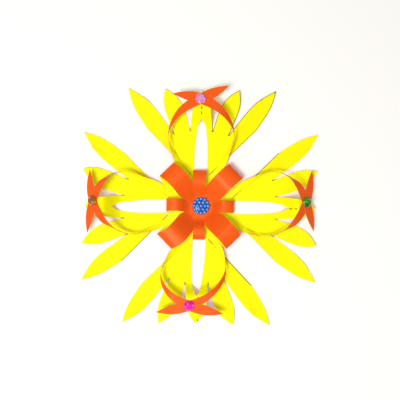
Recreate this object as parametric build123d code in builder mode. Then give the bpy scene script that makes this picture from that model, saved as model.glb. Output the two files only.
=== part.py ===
from build123d import *
import os
from math import cos, radians, sin, sqrt, tan

os.makedirs("parts", exist_ok=True)

# One square of two-sided card is cut, opened flat, and its strips are curled up and glued.
# Every hand has its own frame: x runs out from the centre, y to the left of it, z up.

# Sheet
sheet_side = 215.9
card = 0.3
knife = 0.4
glue_press = 0.05

# Cuts, measured on the flat sheet from its centre
narrow_width = 12.0
narrow_root = 25.5
narrow_tip = 80.5
narrow_straight_end = 50.0
narrow_waist = (60.0, 5.4)
narrow_half_at_notch = 4.3
# Bow of the strip's pointed end: distance back from the tip, then share of the half-width there
narrow_bow = (4.0, 0.6)
wide_width = 20.0
wide_root = 24.0
ribbon_width = 4.8
ribbon_root = 27.0
ribbon_end_width = 9.4

# Blades of a hand: distance out and distance off the axis
notch = (70.0, 10.5)
slit = (66.5, 25.2)
medium_inner = [(88.5, 16.2), (101.0, 24.0)]
medium_tip_off = 34.3
medium_outer = [(97.0, 35.4), (80.5, 31.0)]
long_inner = [(82.0, 36.8), (98.0, 51.5)]
long_tip_off = 68.0
long_outer = [(95.0, 64.4), (80.0, 56.2)]
long_straight_end = 86.0

# Raised centre blade of a hand
blade_half = [(78.0, 9.8), (88.0, 8.6), (97.0, 6.4)]
blade_reach = 105.5
blade_start = 0.45
blade_arrive = 0.35
flat_before_crossing = 8.0
blade_root_overlap = 1.0

# Loops: reach from the centre and height, then the run of a loop back to its glued end
narrow_loops = {"east": (31.3, 9.0), "north": (33.6, 9.5), "west": (30.7, 9.0), "south": (30.0, 7.5)}
wide_loops = {"east": (46.4, 14.0), "north": (45.6, 14.0), "west": (45.0, 13.5), "south": (44.4, 14.0)}
loop_top_share = 0.72
narrow_fall = (0.45, 0.4)
wide_fall = (0.35, 0.2)
first_landing = 10.5
landing_step = 0.5
tip_past_centre = 2.5
narrow_taper = 15.0
wide_taper = 21.0

# Arcs along a bend, cross-sections along a ribbon, and the length over which its direction is taken
bend_arcs = 5
ribbon_stations = 15
direction_step = 0.001
# Cutting solids are longer than what they cut by this factor
cutter_excess = 2

# Order of the eight glued ends in the stack at the centre, lowest first
stack_order = [
    ("wide", "west"), ("narrow", "south"), ("wide", "south"), ("narrow", "east"),
    ("narrow", "west"), ("wide", "east"), ("wide", "north"), ("narrow", "north"),
]

# Crossing of the two ribbons of a hand: distance out, distance to the left, height, outward tilt
crossings = {
    "east": (96.2, 6.2, 11.0, 36.0),
    "north": (97.7, 1.0, 13.0, 5.0),
    "west": (96.7, -3.8, 11.0, 34.0),
    "south": (89.2, -7.7, 13.0, 5.0),
}
# Ribbons: widest point (out, off the axis), then tip (out, past the axis)
ribbons = {
    ("east", "left"): ((69.2, 33.4), (104.6, 20.4)),
    ("east", "right"): ((61.3, 25.6), (101.5, 34.8)),
    ("north", "left"): ((66.0, 29.6), (110.0, 24.4)),
    ("north", "right"): ((67.5, 29.9), (101.9, 26.4)),
    ("west", "left"): ((63.4, 25.6), (100.5, 31.7)),
    ("west", "right"): ((73.0, 30.6), (102.0, 25.6)),
    ("south", "left"): ((57.0, 24.6), (95.7, 37.4)),
    ("south", "right"): ((64.1, 34.0), (96.1, 23.0)),
}
# Shares of the way to the widest point, out and off, through which a ribbon passes
ribbon_bow = [(0.39, 0.65), (0.58, 0.85)]
ribbon_shoulder = (0.57, 0.3)
straight_root = 4.0
flat_root = 1.0
# Lengths at which a ribbon starts to stand on its inner edge, and stands fully
stand_from = 3.0
stand_by = 30.0
# Length that lies on the seat before the crossing, and lengths over which it lies over and settles
seated_length = 9.0
lie_over = 41.0
settle_over = 25.0
ribbon_peak = 12.0
widen_from = 48.0
widen_by = 92.0
leaf_stations = 6
leaf_point = 14.0

# Centre button
button_radius = 7.2
button_rim = 1.2
button_dome = 1.2
pip_radius = 1.75
pip_sink = 0.5
outer_pips = 12
outer_pip_ring = 6.5
inner_pips = 6
inner_pip_ring = 3.6
button_place = (1.1, 0.9)

# Gems
gem_diameter = 10.0
gem_height = 3.4
gem_girdle = 0.9
gem_sides = 8
gem_main_slope = 42.0
gem_corner_slope = 34.0
gem_colours = {"east": "green", "north": "pink", "west": "amber", "south": "magenta"}

half = sheet_side / 2
bearings = {"east": 0, "north": 90, "west": 180, "south": 270}
ribbon_inner = wide_width / 2 + ribbon_width
layer = card - glue_press
stack_top = card + layer * len(stack_order)


def turned(bearing, height=0.0):
    """Ground plane with x along a bearing."""
    return Plane(
        origin=(0, 0, height),
        x_dir=(cos(radians(bearing)), sin(radians(bearing)), 0),
        z_dir=(0, 0, 1),
    )


def upright(bearing):
    """Upright plane: x out along a bearing, y up."""
    return Plane(
        origin=(0, 0, 0),
        x_dir=(cos(radians(bearing)), sin(radians(bearing)), 0),
        z_dir=(sin(radians(bearing)), -cos(radians(bearing)), 0),
    )


def off_diagonal(along, off):
    """Point of a hand from its distances along and off its left diagonal."""
    return ((along + off) / sqrt(2), (along - off) / sqrt(2))


def ease(value, start, end):
    """Smooth step from 0 at start to 1 at end."""
    share = min(max((value - start) / (end - start), 0), 1)
    return share * share * (3 - 2 * share)


def card_edges(path):
    """Draw the two long edges of a bent card, as arcs on both sides of a flat path."""
    for side in (1, -1):
        points = []
        for station in range(2 * bend_arcs + 1):
            share = station / (2 * bend_arcs)
            along = path % share
            points.append(path @ share + Vector(-along.Y, along.X) * (side * card / 2))
        for arc in range(bend_arcs):
            ThreePointArc(*points[2 * arc:2 * arc + 3])


def loop(bearing, root, reach, height, width, taper, fall_shares, level):
    """Strip bent up from its root and back to the centre, where its pointed end is glued."""
    end_height = card / 2 + layer * (level + 1)
    top_height = height - card / 2
    top_out = loop_top_share * reach
    turn_out = (8 * (reach - card / 2) - root - top_out) / 6
    landing = first_landing - landing_step * level
    fall = top_out - landing
    leave, arrive = fall_shares
    half_strip = (width - knife) / 2
    with BuildLine():
        turn = Bezier(
            (root, card / 2), (turn_out, card / 2), (turn_out, top_height), (top_out, top_height)
        )
        back = Bezier(
            turn @ 1,
            (top_out - leave * fall, top_height),
            (landing + arrive * fall, end_height),
            (landing, end_height),
        )
    with BuildPart() as bent:
        with BuildSketch(upright(bearing)):
            with BuildLine():
                card_edges(turn)
                card_edges(back)
                Line((root, 0), (root, card))
                Polyline(
                    (landing, end_height - card / 2),
                    (-tip_past_centre, end_height - card / 2),
                    (-tip_past_centre, end_height + card / 2),
                    (landing, end_height + card / 2),
                )
            make_face()
        extrude(amount=cutter_excess * width / 2, both=True)
        with BuildSketch(turned(bearing)):
            with BuildLine():
                Polyline((-tip_past_centre, 0), (taper, half_strip),
                         (cutter_excess * reach, half_strip), (cutter_excess * reach, 0))
                mirror(about=Plane.XZ)
            make_face()
        extrude(amount=cutter_excess * height, mode=Mode.INTERSECT)
    return bent.part


def crossing_seat(name, lift):
    """Plane of a crossing, tilted outwards, at a distance above the middle of the centre blade."""
    cross_out, cross_left, cross_height, tilt = crossings[name]
    hand = turned(bearings[name])
    normal = hand.x_dir * sin(radians(tilt)) + hand.z_dir * cos(radians(tilt))
    middle = hand.from_local_coords(Vector(cross_out, cross_left, cross_height))
    return Plane(origin=middle + normal * lift, x_dir=hand.y_dir, z_dir=normal)


def centre_blade(name):
    """Pointed middle blade, bent up from the line between its notches to carry the crossing."""
    bearing = bearings[name]
    cross_out, _, cross_height, tilt = crossings[name]
    down_slope = Vector(cos(radians(tilt)), -sin(radians(tilt)))
    aside = Vector(sin(radians(tilt)), cos(radians(tilt))) * (card / 2)
    level_out = Vector(cross_out, cross_height) - down_slope * flat_before_crossing
    reached = Vector(cross_out, cross_height) + down_slope * ((blade_reach - cross_out) / down_slope.X)
    run = level_out.X - notch[0]
    with BuildLine():
        rise = Bezier(
            (notch[0], card / 2),
            (notch[0] + blade_start * run, card / 2),
            level_out - down_slope * (blade_arrive * run),
            level_out,
        )
    with BuildPart() as blade:
        with BuildSketch(upright(bearing)):
            with BuildLine():
                card_edges(rise)
                Line((notch[0], 0), (notch[0], card))
                Polyline(level_out + aside, reached + aside, reached - aside, level_out - aside)
            make_face()
        extrude(amount=cutter_excess * notch[1], both=True)
        with BuildSketch(turned(bearing)):
            with BuildLine():
                Spline((narrow_tip, 0),
                       (narrow_tip - narrow_bow[0], narrow_bow[1] * narrow_half_at_notch),
                       (notch[0], narrow_half_at_notch))
                Polyline((notch[0], narrow_half_at_notch),
                         (notch[0] - blade_root_overlap, narrow_half_at_notch),
                         (notch[0] - blade_root_overlap, notch[1]), notch)
                Spline(notch, *blade_half, (blade_reach, 0))
                mirror(about=Plane.XZ)
            make_face()
        extrude(amount=cutter_excess * level_out.Y, mode=Mode.INTERSECT)
    return blade.part


def ribbon_plan(name, side):
    """Plan of a ribbon in its hand's frame, from its root beside the long blade to its loose tip."""
    sign = 1 if side == "left" else -1
    cross_out, cross_left, _, _ = crossings[name]
    (wide_out, wide_off), (tip_out, tip_off) = ribbons[name, side]
    cross_off = sign * cross_left
    root_out, root_off = off_diagonal(ribbon_root, ribbon_inner - ribbon_width / 2)
    bow = [
        (root_out + out * (wide_out - root_out), root_off + off * (wide_off - root_off))
        for out, off in ribbon_bow
    ]
    shoulder = (
        wide_out + ribbon_shoulder[0] * (cross_out - wide_out),
        wide_off - ribbon_shoulder[1] * (wide_off - cross_off),
    )
    leaving = (root_out + straight_root, root_off + straight_root)
    points = [leaving, *bow, (wide_out, wide_off), shoulder, (cross_out, cross_off), (tip_out, -tip_off)]
    with BuildLine() as plan:
        Line((root_out, sign * root_off), (leaving[0], sign * leaving[1]))
        Spline(*[(out, sign * off) for out, off in points])
    return plan.wire()


def ribbon_width_at(length, total):
    """Width of a ribbon: even, then wider, then a straight-sided point."""
    even = ribbon_width - knife
    leaf = even + (ribbon_end_width - even) * ease(length, widen_from, widen_by)
    return min(leaf, ribbon_end_width * (total - length) / leaf_point)


def ribbon(name, side):
    """Strip that leaves the neck flat, turns over at its widest point and crosses the hand."""
    sign = 1 if side == "left" else -1
    cross_out, cross_left, cross_height, tilt = crossings[name]
    hand = turned(bearings[name])
    plan = ribbon_plan(name, side)
    total = plan.length
    crossed = total * plan.param_at_point(Vector(cross_out, cross_left))
    settled = crossed - seated_length - max(-sign * cross_left, 0)
    # The hand's left ribbon lies on its right one
    seat = crossing_seat(name, layer * (2 if side == "left" else 1))
    seat_height = hand.to_local_coords(seat.origin).Z

    def stood(length):
        return radians(90 * ease(length, stand_from, stand_by))

    def middle(length):
        spot = plan @ (length / total)
        free = (card + ribbon_width * sin(stood(length))) / 2 + ribbon_peak * ease(length, flat_root, crossed)
        seated = seat_height - tan(radians(tilt)) * (spot.X - hand.to_local_coords(seat.origin).X)
        share = ease(length, settled - settle_over, settled)
        return hand.from_local_coords(Vector(spot.X, spot.Y, free + share * (seated - free)))

    def section(length):
        first, last = max(length - direction_step, 0), min(length + direction_step, total)
        along = (middle(last) - middle(first)).normalized()
        level = Vector(0, 0, 1).cross(along).normalized()
        bank = stood(length)
        back = level * (sign * sin(bank)) - along.cross(level) * cos(bank)
        share = ease(length, settled - lie_over, settled)
        back = back + (seat.z_dir - back) * share
        settling = along - seat.z_dir * (along.dot(seat.z_dir) * share)
        across = settling.cross(back).normalized()
        return middle(length), across, settling.normalized()

    with BuildPart() as strip:
        for station in range(ribbon_stations + 1):
            length = settled * station / ribbon_stations
            origin, across, along = section(length)
            with BuildSketch(Plane(origin=origin, x_dir=across, z_dir=along)):
                Rectangle(ribbon_width_at(length, total), card)
        loft()
        sides = {1: [], -1: []}
        for station in range(leaf_stations):
            length = settled + (total - settled) * station / leaf_stations
            origin, across, _ = section(length)
            for way in sides:
                edge = origin + across * (way * ribbon_width_at(length, total) / 2)
                sides[way].append(seat.to_local_coords(edge))
        tip = seat.to_local_coords(middle(total))
        with BuildSketch(seat):
            with BuildLine():
                Spline(*sides[1], tip)
                Spline(tip, *sides[-1][::-1])
                Line(sides[-1][0], sides[1][0])
            make_face()
        extrude(amount=card / 2, both=True)
    return strip.part


# Sheet: flat hub and hands, then the raised blades, loops and ribbons
with BuildPart() as paper_sheet:
    for bearing in bearings.values():
        with BuildSketch(turned(bearing)):
            with BuildLine():
                Polyline(
                    (0, 0),
                    off_diagonal(wide_root, 0),
                    off_diagonal(wide_root, wide_width / 2),
                    off_diagonal(ribbon_root, wide_width / 2),
                    off_diagonal(ribbon_root, ribbon_inner),
                    off_diagonal(long_straight_end, ribbon_inner),
                )
                Spline(
                    off_diagonal(long_straight_end, ribbon_inner), *long_outer[::-1],
                    (half, long_tip_off),
                )
                Spline((half, long_tip_off), *long_inner[::-1], slit)
                Spline(slit, *medium_outer[::-1], (half, medium_tip_off))
                Spline((half, medium_tip_off), *medium_inner[::-1], notch)
                Line(notch, (notch[0], 0))
                mirror(about=Plane.XZ)
            make_face()
            with BuildLine():
                Polyline((narrow_root, 0), (narrow_root, narrow_width / 2),
                         (narrow_straight_end, narrow_width / 2))
                Spline((narrow_straight_end, narrow_width / 2), narrow_waist,
                       (notch[0], narrow_half_at_notch))
                Line((notch[0], narrow_half_at_notch), (notch[0], 0))
                mirror(about=Plane.XZ)
            make_face(mode=Mode.SUBTRACT)
        extrude(amount=card)

    for level, (kind, name) in enumerate(stack_order):
        if kind == "narrow":
            reach, height = narrow_loops[name]
            add(loop(bearings[name], narrow_root, reach, height, narrow_width, narrow_taper,
                     narrow_fall, level))
        else:
            reach, height = wide_loops[name]
            add(loop(bearings[name] + 45, wide_root, reach, height, wide_width, wide_taper,
                     wide_fall, level))
    for name in bearings:
        add(centre_blade(name))
    for name, side in ribbons:
        add(ribbon(name, side))

paper_sheet.part.label = "paper_sheet"
export_step(paper_sheet.part, "parts/paper_sheet.step")

# Button: a flat back, a low dome and rings of round pips
dome_radius = (button_radius ** 2 + button_dome ** 2) / (2 * button_dome)


def pip_height(ring):
    """Height of a pip's middle above the flat back, on the dome."""
    drop = dome_radius - sqrt(dome_radius ** 2 - ring ** 2)
    return button_rim + button_dome - drop - pip_sink


button_seat = Plane(origin=(*button_place, stack_top))
button_section = Plane(origin=button_seat.origin, x_dir=(1, 0, 0), z_dir=(0, -1, 0))
with BuildPart(button_seat) as centre_button:
    with BuildSketch(button_section):
        with BuildLine():
            Polyline((0, button_rim + button_dome), (0, 0), (button_radius, 0), (button_radius, button_rim))
            RadiusArc((0, button_rim + button_dome), (button_radius, button_rim), dome_radius)
        make_face()
    revolve(axis=Axis(button_seat.origin, (0, 0, 1)))
    with Locations((0, 0, pip_height(0))):
        Sphere(pip_radius)
    with Locations((0, 0, pip_height(inner_pip_ring))):
        with PolarLocations(inner_pip_ring, inner_pips):
            Sphere(pip_radius)
    with Locations((0, 0, pip_height(outer_pip_ring))):
        with PolarLocations(outer_pip_ring, outer_pips):
            Sphere(pip_radius)
    split(bisect_by=button_seat, keep=Keep.TOP)

centre_button.part.label = "centre_button"
export_step(centre_button.part, "parts/centre_button.step")

# Gems: flat-backed, one on each crossing
for name, colour in gem_colours.items():
    seat = crossing_seat(name, 2 * layer + card / 2)
    with BuildPart() as gem:
        with BuildSketch(seat):
            RegularPolygon(gem_diameter / 2, 2 * gem_sides)
        extrude(amount=gem_height)
        for slope, turn in ((gem_main_slope, 0), (gem_corner_slope, 180 / gem_sides)):
            with BuildSketch(seat):
                RegularPolygon(gem_diameter / 2 + gem_girdle * tan(radians(slope)), gem_sides, rotation=turn)
            extrude(amount=gem_height, taper=slope, mode=Mode.INTERSECT)
    gem.part.label = "gem_" + colour
    export_step(gem.part, "parts/gem_" + colour + ".step")
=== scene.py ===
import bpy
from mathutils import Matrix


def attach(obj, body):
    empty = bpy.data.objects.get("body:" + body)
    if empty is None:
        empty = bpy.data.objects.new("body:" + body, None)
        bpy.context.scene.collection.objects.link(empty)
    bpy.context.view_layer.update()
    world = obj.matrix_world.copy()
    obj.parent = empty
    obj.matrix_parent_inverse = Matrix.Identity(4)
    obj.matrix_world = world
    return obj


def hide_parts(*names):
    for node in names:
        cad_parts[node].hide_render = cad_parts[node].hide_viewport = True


bl_info = {
    "name": "Layered Paper Flower",
    "version": (1, 0, 0),
    "blender": (4, 5, 0),
    "location": "View3D > Sidebar > Paper Flower",
    "description": "Builds a cut and curled flower of two-sided card with a pipped button and faceted gems",
    "category": "Add Mesh",
}

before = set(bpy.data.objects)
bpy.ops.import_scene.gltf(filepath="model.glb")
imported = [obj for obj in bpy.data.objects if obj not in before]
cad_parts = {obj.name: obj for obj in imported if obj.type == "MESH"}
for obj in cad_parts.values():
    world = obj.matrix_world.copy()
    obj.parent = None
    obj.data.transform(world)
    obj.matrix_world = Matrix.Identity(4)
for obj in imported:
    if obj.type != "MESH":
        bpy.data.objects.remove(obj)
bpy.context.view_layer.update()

import math

import bmesh
import bpy
import numpy as np
from mathutils import Matrix, Vector
from mathutils.geometry import delaunay_2d_cdt

MM = 0.001
BEARINGS = {"east": 0.0, "north": 90.0, "west": 180.0, "south": 270.0}

# The cut sheet, in millimetres, in each hand's own frame: out from the centre, then off the axis to the left.
CARD = 0.3
KNIFE = 0.4
HALF = 107.95
NARROW_WIDTH, NARROW_ROOT, NARROW_TIP = 12.0, 25.5, 80.5
NARROW_STRAIGHT_END, NARROW_WAIST, NARROW_AT_NOTCH = 50.0, (60.0, 5.4), 4.3
# Bow of the strip's pointed end: distance back from the tip, then share of the half-width there
NARROW_BOW = (4, 0.6)
WIDE_WIDTH, WIDE_ROOT = 20.0, 24.0
RIBBON_WIDTH, RIBBON_ROOT, RIBBON_END_WIDTH = 4.8, 27.0, 9.4
RIBBON_INNER = WIDE_WIDTH / 2 + RIBBON_WIDTH
NOTCH = (70.0, 10.5)
SLIT = (66.5, 25.2)
MEDIUM_INNER, MEDIUM_TIP, MEDIUM_OUTER = [(88.5, 16.2), (101.0, 24.0)], 34.3, [(97.0, 35.4), (80.5, 31.0)]
LONG_INNER, LONG_TIP, LONG_OUTER = [(82.0, 36.8), (98.0, 51.5)], 68.0, [(95.0, 64.4), (80.0, 56.2)]
LONG_STRAIGHT_END = 86.0
BLADE_HALF = [(78.0, 9.8), (88.0, 8.6), (97.0, 6.4)]
BLADE_REACH = 105.5
# Rise of a centre blade: flat run before the crossing, then shares of its run that leave and arrive level
FLAT_BEFORE_CROSSING, BLADE_START, BLADE_ARRIVE = 8.0, 0.45, 0.35
# Half-width within which the sheet belongs to the centre blade, by distance out
BLADE_ZONE = ([70, 80, 90, 106], [10.8, 12, 13, 14])
FOLD_SLOPE = 0.13
# Lift of the medium and long tips, each with where it starts and would end, and a faint ripple of the palms
MEDIUM_SHARE, MEDIUM_LIFT, LONG_LIFT = 0.55, (2.2, 66, 124), (1.2, 84, 150)
RIPPLE, RIPPLE_START, RIPPLE_FULL = 0.25, 30, 60
LAYER = 0.25
# Depth over which a dark edge line, printed or painted shade, fades from the cut edge inwards
EDGE_LINE_DEPTH = 1.0
# Darkness of the painted shadow on a strong and a faint neck line, of the printed line on the north hand's
# right side and of the painted shade at a cut's deep end, then its radius
STRONG_NECK_SHADE, FAINT_NECK_SHADE, SIDE_INK, END_SHADE, END_RADIUS = 1.0, 0.45, 0.9, 0.62, 3.4
# Where the neck lines and the side line start, by distance out
NECK_START, SIDE_START = 29.5, 40
# Sideways slew of each hand, and the length over which its ribbons lie down before their crossing
SWAY = {"north": -0.3, "east": 0.3, "south": -1.5, "west": 1.2}
SWAY_START, SWAY_FULL = 28, 70
LIE_DOWN = {"north": 41, "east": 29, "south": 38, "west": 29}

# Loops: reach and height, then how they run back to the glued stack
NARROW_LOOPS = {"east": (31.3, 9.0), "north": (33.6, 9.5), "west": (30.7, 9.0), "south": (30.0, 7.5)}
WIDE_LOOPS = {"east": (46.4, 14.0), "north": (45.6, 14.0), "west": (45.0, 13.5), "south": (44.4, 14.0)}
STACK_ORDER = [
    ("wide", "west"), ("narrow", "south"), ("wide", "south"), ("narrow", "east"),
    ("narrow", "west"), ("wide", "east"), ("wide", "north"), ("narrow", "north"),
]
# How far a hand-curled strip strays to its left at its far end and on top, and how wide it comes back
LOOP_STRAY = {
    ("wide", "east"): (0.9, 1.4, 18.2), ("wide", "north"): (-2.3, -3.6, 17.8),
    ("wide", "west"): (0.3, 2.9, 19.2), ("wide", "south"): (0.3, 1.3, 18.6),
    ("narrow", "east"): (0.7, 0.7, 11.1), ("narrow", "north"): (0.8, 0.9, 11.8),
    ("narrow", "west"): (-1.6, -1.7, 11.3), ("narrow", "south"): (-0.5, -0.5, 10.6),
}
# A strip strays from a share of its rise on, over a share of its reach, and is straight again near the centre
STRAY_FROM, STRAY_RUN, STRAIGHT_BY, STRAIGHT_FROM = 0.1, 0.22, 3, 0.7
LOOP_TOP_SHARE, LOOP_POINT_SHARE = 0.72, 0.012
FALLS = {"narrow": (0.45, 0.4), "wide": (0.35, 0.2)}
FIRST_LANDING, LANDING_STEP, TIP_PAST_CENTRE = 10.5, 0.5, 2.5
TAPERS = {
    ("wide", "east"): 19.5, ("wide", "north"): 21.0, ("wide", "west"): 18.0, ("wide", "south"): 19.0,
    ("narrow", "east"): 12.0, ("narrow", "north"): 11.5, ("narrow", "west"): 9.0, ("narrow", "south"): 10.0,
}

# Crossings: distance out, distance to the left, height, outward tilt in degrees
CROSSINGS = {
    "east": (96.2, 6.2, 11.0, 36.0),
    "north": (97.7, 1.0, 13.0, 5.0),
    "west": (96.7, -3.8, 11.0, 34.0),
    "south": (89.2, -7.7, 13.0, 5.0),
}
# Ribbons: widest point, then tip, each as distance out and distance off or past the axis
RIBBONS = {
    ("east", "left"): ((69.2, 33.4), (104.6, 20.4)),
    ("east", "right"): ((61.3, 25.6), (101.5, 34.8)),
    ("north", "left"): ((66.0, 29.6), (110.0, 24.4)),
    ("north", "right"): ((67.5, 29.9), (101.9, 26.4)),
    ("west", "left"): ((63.4, 25.6), (100.5, 31.7)),
    ("west", "right"): ((73.0, 30.6), (102.0, 25.6)),
    ("south", "left"): ((57.0, 24.6), (95.7, 37.4)),
    ("south", "right"): ((64.1, 34.0), (96.1, 23.0)),
}
# A ribbon's bow before its widest point and its shoulder after it, as shares out and off, and its root run
RIBBON_BOW, RIBBON_SHOULDER, ROOT_RUN = ((0.39, 0.65), (0.58, 0.85)), (0.57, 0.3), 4.0
# How a ribbon stands up from its cut, rises towards its crossing, leans over and grows wide
BANK_START, EARLY_BANK_END, CLIMB, DROP_RUN, SETTLE_BEFORE = 3, 30, 12.0, 25, 9.0
LEAN_OVER, LEAN_BEFORE, LEAN_AFTER = 0.22, 8, 10
WIDEN_START, WIDEN_END, TAIL_LENGTH, TAIL_POWER, POINT_WIDTH = 48, 92, 20.0, 1.8, 0.15
# Points across a ribbon, how far its inner edge laps its cut, and how far its outer edge may be drawn out
RIBBON_POINTS, EDGE_LAP, EDGE_DRAW = 7, 0.4, 1.0
GEM_COLOURS = {"east": "green", "north": "pink", "west": "amber", "south": "magenta"}
# Ridge (+1) or valley (-1) of the fold along each centre blade
FOLDS = {"east": 0.3, "north": 1.0, "west": 0.3, "south": -1.0}


# Height of a row of the sheet's mesh, as a share of its step
ROW_STEP = 0.87


# Helpers

def linear(hex_colour):
    """sRGB hex to linear RGBA."""
    values = [int(hex_colour[i:i + 2], 16) / 255 for i in (1, 3, 5)]
    return tuple(v / 12.92 if v <= 0.04045 else ((v + 0.055) / 1.055) ** 2.4 for v in values) + (1.0,)


def add_node(tree, kind, links=(), **settings):
    """Add a node, set its properties and input defaults, and link its inputs."""
    node = tree.nodes.new(kind)
    for key, value in settings.items():
        if hasattr(node, key):
            setattr(node, key, value)
        else:
            node.inputs[key.replace("_", " ")].default_value = value
    for socket, source in dict(links).items():
        tree.links.new(source, node.inputs[socket])
    return node


def ease(value, start, end):
    """Smooth step from 0 at start to 1 at end."""
    share = np.clip((np.asarray(value, float) - start) / (end - start), 0, 1)
    return share * share * (3 - 2 * share)


def curve_through(points, count):
    """A smooth curve through points: a natural cubic spline by chord length, as evenly spaced samples."""
    p = np.array(points, float)
    t = np.concatenate([[0], np.cumsum(np.linalg.norm(np.diff(p, axis=0), axis=1))])
    n = len(p)
    a = np.zeros((n, n))
    b = np.zeros((n, p.shape[1]))
    a[0, 0] = a[-1, -1] = 1
    h = np.diff(t)
    for i in range(1, n - 1):
        a[i, i - 1:i + 2] = h[i - 1], 2 * (h[i - 1] + h[i]), h[i]
        b[i] = 6 * ((p[i + 1] - p[i]) / h[i] - (p[i] - p[i - 1]) / h[i - 1])
    m = np.linalg.solve(a, b)
    s = np.linspace(0, t[-1], 12 * count)
    k = np.clip(np.searchsorted(t, s, side="right") - 1, 0, n - 2)
    u, v = (t[k + 1] - s)[:, None], (s - t[k])[:, None]
    hk = h[k][:, None]
    c = (m[k] * u ** 3 + m[k + 1] * v ** 3) / (6 * hk) \
        + (p[k] / hk - m[k] * hk / 6) * u + (p[k + 1] / hk - m[k + 1] * hk / 6) * v
    length = np.concatenate([[0], np.cumsum(np.linalg.norm(np.diff(c, axis=0), axis=1))])
    even = np.linspace(0, length[-1], count + 1)
    return np.stack([np.interp(even, length, c[:, i]) for i in range(c.shape[1])], axis=1)


def bezier(a, b, c, d, count):
    """Samples of a cubic curve by its four control points."""
    t = np.linspace(0, 1, count + 1)[:, None]
    a, b, c, d = (np.array(q, float) for q in (a, b, c, d))
    return a * (1 - t) ** 3 + 3 * b * t * (1 - t) ** 2 + 3 * c * t * t * (1 - t) + d * t ** 3


def off_diagonal(along, off):
    """Point of a hand from its distances along and off its left diagonal."""
    return ((along + off) / math.sqrt(2), (along - off) / math.sqrt(2))


def turned(points, bearing):
    """Turn points (x, y or x, y, z) about the centre to a bearing in degrees."""
    q = np.array(points, float)
    a = math.radians(bearing)
    x, y = q[:, 0] * math.cos(a) - q[:, 1] * math.sin(a), q[:, 0] * math.sin(a) + q[:, 1] * math.cos(a)
    q[:, 0], q[:, 1] = x, y
    return q


def new_piece(name, verts, faces, materials, slots=None):
    """A mesh object at the origin from millimetre vertices."""
    mesh = bpy.data.meshes.new(name)
    mesh.from_pydata([tuple(v) for v in np.array(verts, float) * MM], [], faces)
    for material in materials:
        mesh.materials.append(material)
    if slots is not None:
        mesh.polygons.foreach_set("material_index", slots)
    mesh.update()
    piece = bpy.data.objects.new(name, mesh)
    bpy.context.scene.collection.objects.link(piece)
    return piece


def finished(piece, sharp_angle=40.0):
    """Replace a piece's mesh by its evaluated one, with sharp edges by angle."""
    dg = bpy.context.evaluated_depsgraph_get()
    mesh = bpy.data.meshes.new_from_object(piece.evaluated_get(dg))
    piece.modifiers.clear()
    piece.data = mesh
    mesh.polygons.foreach_set("use_smooth", [True] * len(mesh.polygons))
    mesh.set_sharp_from_angle(angle=math.radians(sharp_angle))
    return piece


# Shapes of the paper

def half_outline():
    """Left half of a hand's outline, from the centre blade's tip to the wide strip's root."""
    blade = curve_through([NOTCH, *BLADE_HALF, (BLADE_REACH, 0)], 26)[::-1]
    medium_in = curve_through([(HALF, MEDIUM_TIP), *MEDIUM_INNER[::-1], NOTCH], 26)[::-1]
    medium_out = curve_through([SLIT, *MEDIUM_OUTER[::-1], (HALF, MEDIUM_TIP)], 26)[::-1]
    long_in = curve_through([(HALF, LONG_TIP), *LONG_INNER[::-1], SLIT], 34)[::-1]
    straight = off_diagonal(LONG_STRAIGHT_END, RIBBON_INNER)
    long_out = curve_through([straight, *LONG_OUTER[::-1], (HALF, LONG_TIP)], 26)[::-1]
    neck = [off_diagonal(a, RIBBON_INNER) for a in np.linspace(LONG_STRAIGHT_END, RIBBON_ROOT, 28)][1:]
    half_ribbon = (RIBBON_WIDTH - KNIFE) / 2
    middle = RIBBON_INNER - RIBBON_WIDTH / 2
    root = [off_diagonal(RIBBON_ROOT, middle + half_ribbon * u) for u in np.linspace(1, -1, 7)]
    step = [off_diagonal(RIBBON_ROOT, WIDE_WIDTH / 2), off_diagonal(WIDE_ROOT, WIDE_WIDTH / 2)]
    half_wide = (WIDE_WIDTH - KNIFE) / 2
    wide = [off_diagonal(WIDE_ROOT, half_wide * u) for u in np.linspace(1, 0, 7)]
    return [*blade, *medium_in[1:], *medium_out[1:], *long_in[1:], *long_out[1:], *neck, *root, *step, *wide]


def slit_outline():
    """Outline of a hand's slit, from its root round its pointed end."""
    strip = (NARROW_WIDTH - KNIFE) / 2
    root = [(NARROW_ROOT, strip * u) for u in np.linspace(-1, 1, 9)]
    side = [(NARROW_ROOT, NARROW_WIDTH / 2)]
    side += [(x, NARROW_WIDTH / 2) for x in np.linspace(NARROW_ROOT, NARROW_STRAIGHT_END, 14)[1:]]
    at_notch = (NOTCH[0], NARROW_AT_NOTCH)
    waist = curve_through([(NARROW_STRAIGHT_END, NARROW_WIDTH / 2), NARROW_WAIST, at_notch], 12)
    bow = (NARROW_TIP - NARROW_BOW[0], NARROW_BOW[1] * NARROW_AT_NOTCH)
    point = curve_through([(NARROW_TIP, 0), bow, at_notch], 10)
    half = [*side, *waist[1:], *point[::-1][1:]]
    return [*root, *half, *[(x, -y) for x, y in half[::-1][1:]]]


def inside(points, outline):
    """Which points lie inside a closed outline, by crossings."""
    p, q = np.array(points, float), np.array(outline, float)
    within = np.zeros(len(p), bool)
    for (x0, y0), (x1, y1) in zip(q, np.roll(q, -1, axis=0)):
        if y0 == y1:
            continue
        spans = (y0 > p[:, 1]) != (y1 > p[:, 1])
        within ^= spans & (p[:, 0] < x0 + (p[:, 1] - y0) * (x1 - x0) / (y1 - y0))
    return within


def away_from(points, outline):
    """Distance from points to the nearest corner of a closely stepped outline."""
    p, q = np.array(points, float), np.array(outline, float)
    return np.min(np.linalg.norm(p[:, None, :] - q[None, :, :], axis=2), axis=1)


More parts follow.
